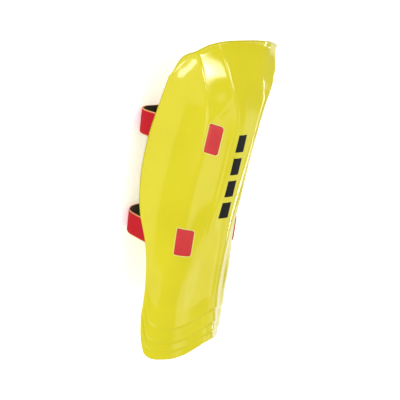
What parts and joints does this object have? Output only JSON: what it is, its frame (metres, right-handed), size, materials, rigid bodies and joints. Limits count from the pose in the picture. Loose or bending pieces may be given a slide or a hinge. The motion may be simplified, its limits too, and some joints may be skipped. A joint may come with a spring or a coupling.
{
  "type": "ski racing shin guard",
  "caption": "Long U-shaped shin guard: a creased, glossy hard shell with a flared knee rim, a ribbed foot end and two elastic strap loops behind the calf.",
  "frame": {"origin": "under the middle of the guard, on the surface that the flat backs of the straps lie on", "axes": "+Y along the shin towards the knee, +Z towards the front of the shin, -X towards the left wing"},
  "size_m": [0.1336, 0.361, 0.1125],
  "materials": {
    "shell_plastic": "glossy moulded polycarbonate",
    "strap_webbing": "woven elastic webbing",
    "strap_lining": "matte knitted ply",
    "tab_rubber": "satin"
  },
  "bodies": {
    "root": {"shell": "shell_plastic", "upper_strap": "strap_webbing", "lower_strap": "strap_webbing", "upper_strap_lining": "strap_lining", "lower_strap_lining": "strap_lining", "upper_closure": "strap_webbing", "lower_closure": "strap_webbing", "upper_tab_left": "tab_rubber", "upper_tab_right": "tab_rubber", "lower_tab_left": "tab_rubber", "lower_tab_right": "tab_rubber"}
  },
  "joints": []
}
